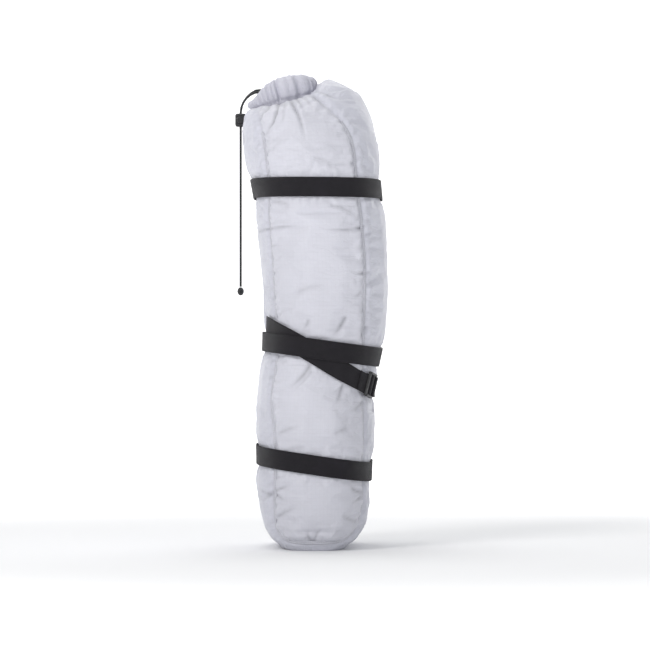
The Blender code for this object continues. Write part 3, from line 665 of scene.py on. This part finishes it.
def skin_points():
    """The skin's points with all their puckers, creases and pleats, and how much painted shade each gets."""
    base = dipped(outside(TURNS, LEVELS))
    normals = grid_normals(base)
    x, y, z = base[..., 0], base[..., 1], base[..., 2]
    girth_at = np.broadcast_to(np.arange(AROUND) * GIRTH / AROUND, x.shape)
    front = step((-y - 20) / 30)
    back = step((y - 20) / 30)
    distance, along = seam_field(base)
    within = inside_seam(x, z)
    away = {name: np.abs(strap_offset(base, normals, name)) for name in (*GIRTH_STRAPS, "diagonal")}
    turn = np.degrees(np.arctan2(y / 125, (x - 5) / 75))
    on_diagonal = (turn > -166) & (turn < 12)
    away["diagonal"] = np.where(on_diagonal, away["diagonal"], 400.0)
    nearest_strap = np.minimum.reduce(list(away.values()))
    local = (base - np.array(COLLAR_CENTRE)) @ np.array(COLLAR.to_3x3())
    rho = np.hypot(local[..., 0] / COLLAR_LENGTH, local[..., 1] / COLLAR_WIDTH)
    phi = np.arctan2(local[..., 1] / COLLAR_WIDTH, local[..., 0] / COLLAR_LENGTH)
    high = step((z - 500) / 40)

    offset = np.full(x.shape, 1.6)
    held = np.maximum(bell(distance, 5.0), 1 - step((nearest_strap - 12.0) / 5.0))
    held = np.maximum(held, np.maximum(1 - step((z - 2) / 12), step((z - 592) / 10)))
    held = np.maximum(held, high * (1 - step((rho - 1.0) / 0.25)))
    coarse = (base + normals * 1.0)[::2, ::2]
    moved = doubled(billowed(coarse, held[::2, ::2]))
    swell = (moved * normals).sum(axis=2)
    offset += np.clip(swell, -2.0, 5.0) * 0.75
    offset += 0.9 * step((nearest_strap - 14) / 30)

    big, mid, small = (noise_field(base, scale, seed) for scale, seed in ((70, 1), (26, 2), (12, 3)))
    ridged = 0.5 - np.abs(noise_field(base * np.array([1, 1, 1.7]), 22, 4))
    calm = 1 - 0.55 * front
    offset += 1.0 * big + calm * (0.75 * mid + 0.25 * small + 0.8 * (ridged - 0.25))

    wander = noise_field(base, 30, 5)
    strength = 0.25 + 1.5 * np.abs(noise_field(base, 33, 6))
    slant = along + np.where(within, 0.55, -0.45) * distance
    pucker = np.sin(slant * math.tau / 13.5 + 5 * wander)
    pucker += 0.55 * np.sin(slant * math.tau / 7.3 + 7 * wander + 1)
    apart = step((distance - 1.0) / 4.0)
    reach = 0.85 * np.exp(-distance / 9.0) + 0.42 * np.exp(-distance / 22.0)
    offset += strength * pucker * apart * reach
    offset -= 1.9 * bell(distance, 3.8)
    offset += 0.9 * bell(distance - 9, 5)

    for name, gap in away.items():
        beside = np.maximum(gap - 12.5, 0)
        gather = np.sin(girth_at * math.tau / 10.5 + 6 * wander + len(name)) * strength
        offset += 0.75 * gather * np.exp(-beside / 8.0) * (gap > 12.5)
        offset -= 0.9 * bell(beside, 5.0) * (gap < 60)

    back_creases = random_creases(34, (-70, 70), (30, 560))
    side_creases = random_creases(52, (-105, 105), (25, 570))
    flank = (1 - front) * (1 - back)
    creases = (front * crease_field(x, z, FRONT_CREASES) + back * crease_field(x, z, back_creases)
               + flank * crease_field(y, z, side_creases))
    offset += creases
    # Painted shade: fold is how much the cloth is darkened in the crease valleys, along the seam, in a line
    # at the collar's foot and in the puckers' valleys.
    fold = np.clip(-creases / 2.7, 0, 1) + 0.25 * bell(distance, 2.2)
    fold = np.maximum(fold, 0.85 * high * bell(rho - 0.99, 0.045))
    fold = np.maximum(fold, 0.30 * np.clip(-pucker * strength, 0, 1.5) * apart * np.exp(-distance / 7.0))

    pleats = np.cos(22 * phi + 4 * wander) + 0.5 * np.cos(39 * phi + 5 * wander + 2)
    near_neck = high * np.exp(-np.maximum(rho - 1.0, 0) / 0.42)
    offset += (1.25 - 0.55 * front) * pleats * near_neck * step((rho - 0.95) / 0.1)
    offset -= 2.6 * high * bell(rho - 1.04, 0.09)
    offset = np.where(rho < 0.93, offset * (1 - high) - 1.2 * high, offset)

    # The skin stays under the webbing, the buckles, the cord lock and the ladder lock.
    cap = UNDER_STRAP + FREE_RISE * step((nearest_strap - 13.5) / 14)
    nearest_girth = np.minimum.reduce([away[name] for name in GIRTH_STRAPS])
    by_buckle = (y > 85) & (x > -50) & (x < 80)
    under_buckle = UNDER_STRAP + FREE_RISE * step((nearest_girth - 24) / 14)
    cap = np.where(by_buckle, np.minimum(cap, under_buckle), cap)
    by_lock = step((-x - 55) / 8) * step((y - 4) / 8) * (1 - step((y - 50) / 8))
    cap = cap * (1 - by_lock) + np.minimum(cap, UNDER_LOCK) * by_lock
    by_ladder = (x > 30) & (y < -40) & (z > 175) & (z < 250)
    cap = np.where(by_ladder, np.minimum(cap, UNDER_LADDER), cap)
    offset = np.clip(offset, -2.4, cap)
    offset *= 0.15 + 0.85 * step(z / 16)
    placed = base + normals * offset[..., None]
    placed[..., 2] = np.maximum(placed[..., 2], 0.15 + 0.35 * (z > 0.5))
    return placed, np.clip(fold, 0, 1)


def sack_skin():
    """The front panel, the back panel and the long gusset, cut from one surface along its seams."""
    points, fold = skin_points()
    middle = np.array([np.mean(points[0, :, 0]), 0.0, 0.15])
    floor_rings = [middle + (points[0] - middle) * share for share in (0.03, 0.2, 0.4, 0.6, 0.8, 0.93)]
    for ring, lift in zip(floor_rings, noise_field(np.array(floor_rings), 30, 8)):
        ring[:, 2] = 0.3 + 0.6 * np.abs(lift)
    rows = np.concatenate([np.array(floor_rings), points])
    lead = len(floor_rings)
    girth_at = np.arange(AROUND) * GIRTH / AROUND
    rise = np.concatenate([np.linspace(-45, -4, lead), RISE])
    uv = np.dstack([np.broadcast_to(girth_at, rows.shape[:2]),
                    np.broadcast_to(rise[:, None], rows.shape[:2])]).reshape(-1, 2) * MM
    total = len(rows)
    number, quads = ring_grid(total, AROUND)
    base = outside(TURNS, LEVELS)
    flat = np.concatenate([np.repeat(base[:1], lead, axis=0), base])
    turned = np.roll(flat, -1, axis=1)
    centres = (flat[:-1] + flat[1:] + turned[:-1] + turned[1:]) / 4
    in_panel = inside_seam(centres[..., 0], centres[..., 2]).ravel()
    in_panel &= np.repeat(np.arange(total - 1) >= lead, AROUND)
    sides = centres[..., 1].ravel()
    flat_points = rows.reshape(-1, 3)
    painted_crease_shade = np.concatenate([np.zeros(lead * AROUND), fold.ravel()])
    bottom, top = number[0][::-1], number[-1]
    cuts = {"front_panel": (in_panel & (sides < 0), [top], FABRIC, "side_panel_front"),
            "back_panel": (in_panel & (sides >= 0), [], FABRIC, "side_panel_back"),
            "long_gusset": (~in_panel, [bottom], GUSSET, "gusset_panel")}
    for name, (chosen, caps, material, node) in cuts.items():
        faces = quads[chosen]
        used = np.unique(np.concatenate([faces.ravel(), *caps]))
        renumber = np.zeros(total * AROUND, np.int64)
        renumber[used] = np.arange(len(used))
        kept = renumber[faces].tolist() + [renumber[cap].tolist() for cap in caps]
        mesh = mesh_of(name, flat_points[used], kept, uv[used])
        # The fold attribute holds the painted crease shade that the ripstop material darkens the cloth by.
        layer = mesh.attributes.new("fold", "FLOAT", "POINT")
        layer.data.foreach_set("value", painted_crease_shade[used].astype(np.float32))
        piece = new_piece(mesh, material)
        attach(piece, "sack")
        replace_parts(piece, node)
    whole_faces = quads.tolist() + [bottom.tolist(), top.tolist()]
    return BVHTree.FromPolygons([tuple(p) for p in flat_points], whole_faces)


def stuffed_load():
    """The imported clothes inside: a lumpy form just under the fabric."""
    z = np.linspace(6, HEIGHT - 10, 90)
    points = dipped(outside(TURNS[::4], z))
    out = grid_normals(points)
    lumps = noise_field(points, 34, 9)
    points = points - out * (7.0 - 1.6 * lumps)[..., None]
    points[..., 2] = np.maximum(points[..., 2], 4.5)
    number, quads = ring_grid(*points.shape[:2])
    faces = quads.tolist() + [number[0][::-1].tolist(), number[-1].tolist()]
    flat = points.reshape(-1, 3)
    mesh = mesh_of("stuffed_load", flat, faces, flat[:, [1, 2]] * MM)
    piece = new_piece(mesh, STUFFING)
    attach(piece, "sack")
    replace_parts(piece, "packed_load")


def eased(values, reach):
    """Values averaged with their neighbours along a line."""
    padded = np.pad(values, ((reach, reach), (0, 0)), mode="edge")
    return sum(padded[i:i + len(values)] for i in range(2 * reach + 1)) / (2 * reach + 1)


def seam_tapes(skin):
    """A felled seam laid on the skin, following its puckers."""
    route = smooth_route([(x, z) for x, z in SEAM if z < 560], 2.4)
    shifts = np.array([-2.3, -1.9, -1.0, 0, 1.0, 1.9, 2.3])
    raised = np.array([0.1, 0.5, 0.62, 0.7, 0.62, 0.5, 0.1])
    depth = face_depth(route[:, 0], route[:, 1])
    for name, side, node in (("front_seam", -1, "seam_binding_front"),
                             ("back_seam", 1, "seam_binding_back")):
        found = [skin.find_nearest(Vector((x, side * y, z))) for (x, z), y in zip(route, depth)]
        middle = eased(np.array([tuple(f[0]) for f in found]), 1)
        out = np.array([tuple(f[1]) for f in found])
        out *= np.where((out[:, 1] * side) < -0.2, -1, 1)[:, None]
        out = unit(eased(out, 3))
        across = unit(np.cross(out, np.gradient(middle, axis=0)) * side)
        points, uv = [], []
        for here, up, sideways, run in zip(middle, out, across, travelled_along(middle)):
            for shift, lift in zip(shifts, raised):
                level = here + sideways * shift
                onto = skin.find_nearest(Vector(level))[0]
                points.append(np.array(onto) * 0.6 + level * 0.4 + up * lift)
                uv.append((run * MM, shift * MM))
        count = len(shifts)
        faces = []
        for k in range(len(route) - 1):
            for i in range(count - 1):
                face = (k * count + i, (k + 1) * count + i, (k + 1) * count + i + 1, k * count + i + 1)
                faces.append(face if side < 0 else tuple(reversed(face)))
        piece = new_piece(mesh_of(name, points, faces, uv), TAPE)
        thick = piece.modifiers.new("thickness", "SOLIDIFY")
        thick.thickness = 0.0007
        thick.offset = -0.6
        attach(piece, "sack")
        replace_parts(piece, node)


# ---- collar ----

# Height of the collar's rim along its length.
RIM_LINE = [(-48, 1), (-45, 2.5), (-41, 5.5), (-36, 9.8), (-29, 14.7), (-22, 18), (-14, 20.3),
            (-2, 22.2), (17, 22.3), (37, 19.5), (46, 14.5), (50, 11)]
RIM_TOP = 22
OUTSIDE_CORD = 41.8
# Height as a share of the rim, half length, half width and strength of the pleats.
COLLAR_PROFILE = [(-17, 40, 26, 0.3), (-11, 42.5, 28, 0.6), (-7.5, 43.2, 28.6, 0.8), (-5, 45.5, 30.6, 1.0),
                  (0, 46.3, 31.2, 1.0), (6, 46.8, 31.6, 1.0), (12, 46.4, 31.2, 1.0), (17, 44.6, 29.4, 1.0),
                  (20.6, 41, 25.8, 1.0), (21.2, 37, 21.8, 1.0), (18.5, 31.5, 16, 1.1), (14.5, 26.5, 11, 1.0),
                  (11, 20, 6.5, 0.5), (9.5, 9, 2.6, 0.1)]


def gathered_collar():
    """The casing: dense pleats on its left, one broad soft fold on its right, a puckered mouth."""
    around = 384
    turns = np.linspace(0, math.tau, around, endpoint=False)
    profile = smooth_route(COLLAR_PROFILE, 1.5)
    c, s = np.cos(turns), np.sin(turns)
    u = COLLAR_LENGTH * c
    arc = np.concatenate([[0], np.cumsum(np.hypot(np.diff(u), np.diff(COLLAR_WIDTH * s)))])
    drift = np.array([noise.noise(Vector((math.cos(a) * 2.2, math.sin(a) * 2.2, 3.0))) for a in turns])
    dense = np.sin(arc * math.tau / 6.2 + 3.2 * drift)
    dense = np.sign(dense) * np.abs(dense) ** 0.75
    loose = np.sin(arc * math.tau / 12.4 + 5 * drift + 1.0)
    front = s < 0
    dense_share = np.where(front, 1 - step((u + 8) / 8), 0.75)
    rim = np.interp(u, *zip(*RIM_LINE)) / RIM_TOP
    back = 0.35 * rim + 0.65 * np.interp(u, (-46, -20, 10, 46), (0.4, 0.85, 1.0, 0.75))
    rim = np.where(front, rim, back)
    swell = (2.0 * bell(u - 9, 8) - 2.2 * bell(u - 25, 3.4) + 1.4 * bell(u - 35, 5)) * front
    rows = []
    for k, (height, length, width, strength) in enumerate(profile):
        fold = strength * (1.25 * dense * dense_share + 0.75 * loose * (1 - 0.6 * dense_share))
        deep = -3.8 * bell(u + 5, 2.4) * front * (0.35 + 0.65 * strength)
        inner = 1.0 if k < len(profile) * 0.62 else 0.55
        out = (fold + deep * 0.9 + swell * strength) * inner
        out = out * 0.5 if height < -9 else out
        # The pleats go no deeper than just outside the drawcord.
        least = OUTSIDE_CORD - length if length > OUTSIDE_CORD else -9.0
        out = np.maximum(out, least)
        lifted = height
        if height > -4:
            lifted = -4 + (height + 4) * np.where(rim > 0, rim, 0.05) ** step((height + 8) / 10)
        lifted = lifted + 0.5 * np.sin(arc * math.tau / 9 + 4 * drift) * step((height - 14) / 6)
        rows.append(np.column_stack([(length + out) * c, (width + out) * s, lifted]))
    points = np.array(rows)
    crinkle = noise_field(points, 7, 11)
    points[..., 0] += 0.35 * crinkle * c
    points[..., 1] += 0.35 * crinkle * s
    world = points.reshape(-1, 3) @ np.array(COLLAR.to_3x3()).T + np.array(COLLAR_CENTRE)
    number, quads = ring_grid(len(rows), around)
    faces = quads.tolist() + [number[-1].tolist()]
    rise = travelled_along(profile[:, :2])[:, None]
    uv = np.dstack([np.broadcast_to(arc, number.shape), np.broadcast_to(rise, number.shape)])
    mesh = mesh_of("gathered_collar", world, faces, uv.reshape(-1, 2) * MM)
    piece = new_piece(mesh, GATHERED)
    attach(piece, "sack")
    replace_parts(piece, "collar")


def cinched_cord():
    """The drawcord in its casing: it dips with the rim on the collar's left."""
    turns = np.linspace(0, math.tau, 72, endpoint=False)
    rim = np.interp(COLLAR_LENGTH * np.cos(turns), *zip(*RIM_LINE))
    heights = np.minimum(6.5, 0.9 * rim - 8.0)
    ring = [COLLAR @ Vector((40 * math.cos(turn), 25 * math.sin(turn), height)) * MM
            for turn, height in zip(turns, heights)]
    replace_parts(cord_curve("cinched_cord", ring, closed=True), "drawcord")


def lock_spring():
    """The lock's coil of drawn wire, built as a fixed helix."""
    turns, wire, radius, length, sides = 2.5, 0.35, 3.2, 4.2, 10
    centre = np.array([-97.4, 28.0, 556.0])
    steps = np.linspace(0, turns * math.tau, 90)
    rows = []
    for a in steps:
        rise = 6.5 + length * a / (turns * math.tau)
        middle = np.array([radius * math.cos(a), rise, radius * math.sin(a)])
        out = np.array([math.cos(a), 0.0, math.sin(a)])
        for b in np.linspace(0, math.tau, sides, endpoint=False):
            rows.append(centre + middle + wire * (out * math.cos(b) + np.array([0, math.sin(b), 0])))
    number, quads = ring_grid(len(steps), sides)
    faces = quads[:, [0, 3, 2, 1]].tolist() + [number[0].tolist(), number[-1][::-1].tolist()]
    coil = new_piece(mesh_of("lock_coil", rows, faces), WIRE)
    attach(coil, "cord_lock")
    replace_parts(coil, "cord_lock_spring")
    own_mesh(coil)


# ---- webbing ----

def section(z):
    heights, *values = zip(*SECTIONS)
    left, right, depth, power = (float(np.interp(z, heights, value)) for value in values)
    return (left + right) / 2, (right - left) / 2, depth, power


def on_section(turn, z):
    middle, half, depth, power = section(z)
    c, s = math.cos(turn), math.sin(turn)
    x = math.copysign(abs(c) ** (2 / power), c)
    y = math.copysign(abs(s) ** (2 / power), s)
    out = Vector((math.copysign(abs(x) ** (power - 1), x) / half,
                  math.copysign(abs(y) ** (power - 1), y) / depth, 0)).normalized()
    return Vector((middle + half * x, depth * y, z)), out


def on_strap_plane(turn, height, slope, across, lift):
    z = height + across
    for _ in range(4):
        place, out = on_section(turn, z)
        steep = math.tan(slope)
        z = height - place.x * steep + across * math.hypot(1, steep * out.y)
    return place + out * lift


def buckle_frame(height, slope):
    middle, _, depth, _ = section(height)
    centre = Vector((middle, depth + BUCKLE_LIFT, height - middle * math.tan(slope)))
    return Matrix.Translation(centre) @ Matrix.Rotation(slope, 4, "Y")


def crossing_lift(turn, name):
    if name != "middle":
        return 0.0
    start, full, fade, end = (math.radians(a) for a in (-50, -66, -190, -215))
    return CROSSING_LIFT * float(np.interp(-turn, (-start, -full, -fade, -end), (0, 1, 1, 0)))


def ladder_frame():
    height, degrees = DIAGONAL
    slope = math.radians(degrees)

    def beside(turn, across):
        return on_strap_plane(LADDER_TURN + turn, height, slope, across, LADDER_LIFT)

    along = (beside(0.06, 0) - beside(-0.06, 0)).normalized()
    upward = beside(0, WEB_WIDTH / 2) - beside(0, -WEB_WIDTH / 2)
    out = along.cross(upward).normalized()
    rotation = Matrix((along, out, along.cross(out))).transposed().to_4x4()
    return Matrix.Translation(beside(0, 0)) @ rotation


# Places across a tape and half its thickness there.
STATIONS = np.array([-12.5, -12.1, -9.5, -6.3, -3.1, 0, 3.1, 6.3, 9.5, 12.1, 12.5])
THICKNESS = np.array([0.35, 0.8, 0.86, 0.8, 0.8, 0.8, 0.8, 0.8, 0.86, 0.8, 0.35]) * 0.94
SPLIT_TURN = -30


def webbing(name, lines, caps=(True, True), start=0.0):
    """A tape of real thickness with rounded selvedges, through lines of points across its width."""
    middle = np.array([[tuple(p) for p in line] for line in lines])
    out = unit(np.cross(np.gradient(middle, axis=0), np.gradient(middle, axis=1)))
    rows, count = middle.shape[:2]
    top = middle + out * THICKNESS[None, :, None]
    bottom = middle - out * THICKNESS[None, :, None]
    loop = np.concatenate([top, bottom[:, ::-1]], axis=1)
    travelled = travelled_along(middle[:, count // 2])[:, None] + start
    v = np.concatenate([STATIONS, STATIONS[::-1]])
    number, quads = ring_grid(rows, 2 * count)
    uv = np.dstack([np.broadcast_to(travelled, number.shape), np.broadcast_to(v, number.shape)])
    faces = quads[:, [0, 3, 2, 1]].tolist()
    ends = [number[0].tolist()] * caps[0] + [number[-1][::-1].tolist()] * caps[1]
    mesh = mesh_of(name, loop.reshape(-1, 3), faces + ends, uv.reshape(-1, 2) * MM)
    for face in mesh.polygons[len(faces):]:
        face.use_smooth = False
    return new_piece(mesh, WEB)


def girth_rows(name, first, last, with_fold=False, with_plug=False):
    """Rows across a girth strap between two turns, in degrees, with the ends round its buckle's bars."""
    height, degrees = GIRTH_STRAPS[name]
    slope = math.radians(degrees)
    place = buckle_frame(height, slope)
    count = max(3, round((last - first) / 2)) + 1
    turns = np.radians(np.linspace(first, last, count))
    lines = []
    for across in STATIONS:
        def beside(points):
            return [place @ Vector((u, v, across)) for u, v in points]

        def over(which, lift):
            return [on_strap_plane(a, height, slope, across, lift + crossing_lift(a, name)) for a in which]

        line = over(turns, WEB_LIFT)
        if with_fold:
            sewn = over(np.radians([-224.8, -228, -231, -234, -236]), WEB_LIFT + PLY)
            fold = beside([(-38, -0.75), (-35.5, 1.9), (-33.5, 2.75), (-31, 2.75), (-28.6, 2.75),
                           (-27.3, 2.2), (-26.8, 1), (-26.8, -1), (-27.3, -2.2), (-28.6, -2.7),
                           (-32, -2.7), (-36, -2.7)])
            line = sewn + fold + line
        if with_plug:
            threads = beside([(29, -4.8), (22, -4.8), (14.2, -4.8), (12.6, -4.0), (12, -2.4), (12, 0.9),
                              (12.7, 2.3), (14.2, 2.75), (17.8, 2.75), (19.3, 2.3), (20, 0.9), (20, -0.9),
                              (20.7, -2.3), (22.2, -2.9), (25, -2.9), (29, -2.9)])
            tail = over(turns[turns >= math.radians(11.0)][::-1], WEB_LIFT + PLY)
            line = line + threads + tail
        lines.append(line)
    return [list(row) for row in zip(*lines)]


def girth_straps():
    for name in GIRTH_STRAPS:
        rows = girth_rows(name, -236, SPLIT_TURN, with_fold=True)
        left = webbing(f"{name}_strap_run", rows, (True, False))
        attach(left, "sack")
        rows = girth_rows(name, SPLIT_TURN, 56, with_plug=True)
        right = webbing(f"{name}_strap_free_end", rows, (False, True), 500.0)
        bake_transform(right)
        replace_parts(left, f"{name}_strap")
        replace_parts(right, f"{name}_strap")


def diagonal_straps():
    height, degrees = DIAGONAL
    slope = math.radians(degrees)
    place = ladder_frame()
    thread = [(-12, -4.8), (-6, -4.8), (0, -4.8), (1.2, -4.0), (1.6, -2.4), (1.6, 0.9), (0.9, 2.3),
              (-0.6, 2.75), (-3.4, 2.75), (-5.2, 2.2), (-6, 0.8), (-6, -0.9), (-6.7, -2.3),
              (-8.2, -2.9), (-12, -2.9)]
    wrap = [(13.5, -2.7), (9.4, -2.7), (8.0, -2.4), (7.5, -1), (7.5, 1), (8.0, 2.4), (9.4, 2.75),
            (12.8, 2.6), (15.4, -0.2)]
    run_turns = np.radians(np.linspace(-160, -62, 56))
    end_turns = np.radians(np.linspace(-62, -48, 9))
    anchor_turns = np.radians(np.linspace(-22, 2, 13))
    run, end, anchor = [], [], []
    for across in STATIONS:
        def over(turns, lift):
            return [on_strap_plane(a, height, slope, across, lift) for a in turns]

        run.append(over(run_turns, WEB_LIFT))
        threaded = [place @ Vector((u, v, -across)) for u, v in thread]
        end.append(over(end_turns, WEB_LIFT) + threaded + over(end_turns[:3:-1], WEB_LIFT + PLY))
        wrapped = [place @ Vector((u, v, -across)) for u, v in wrap]
        doubled_back = over(anchor_turns[:-2], WEB_LIFT + PLY)
        anchor.append(over(anchor_turns[::-1], WEB_LIFT) + wrapped + doubled_back)
    run_piece = webbing("diagonal_strap_run", [list(row) for row in zip(*run)], (True, False))
    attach(run_piece, "sack")
    end_piece = webbing("diagonal_strap_end", [list(row) for row in zip(*end)], (False, True), 250.0)
    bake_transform(end_piece)
    anchor_piece = webbing("ladder_anchor_loop", [list(row) for row in zip(*anchor)])
    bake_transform(anchor_piece)
    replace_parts(run_piece, "diagonal_strap")
    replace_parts(end_piece, "diagonal_strap")
    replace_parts(anchor_piece, "ladder_anchor")


# ---- hardware that keeps its CAD shape ----

def finish_hardware():
    looks = {"cord_eyelet": EYELET, "cord_knot": BRAID}
    moulded_parts = ["cord_lock_body", "cord_lock_button", "ladder_lock"]
    for name in GIRTH_STRAPS:
        moulded_parts += [f"{name}_buckle_housing", f"{name}_buckle_plug"]
    looks.update(dict.fromkeys(moulded_parts, ACETAL))
    for name, look in looks.items():
        for slot_of in NODES[name].material_slots:
            slot_of.material = look


camera_and_room()
tails()
skin = sack_skin()
seam_tapes(skin)
stuffed_load()
gathered_collar()
cinched_cord()
lock_spring()
girth_straps()
diagonal_straps()
finish_hardware()
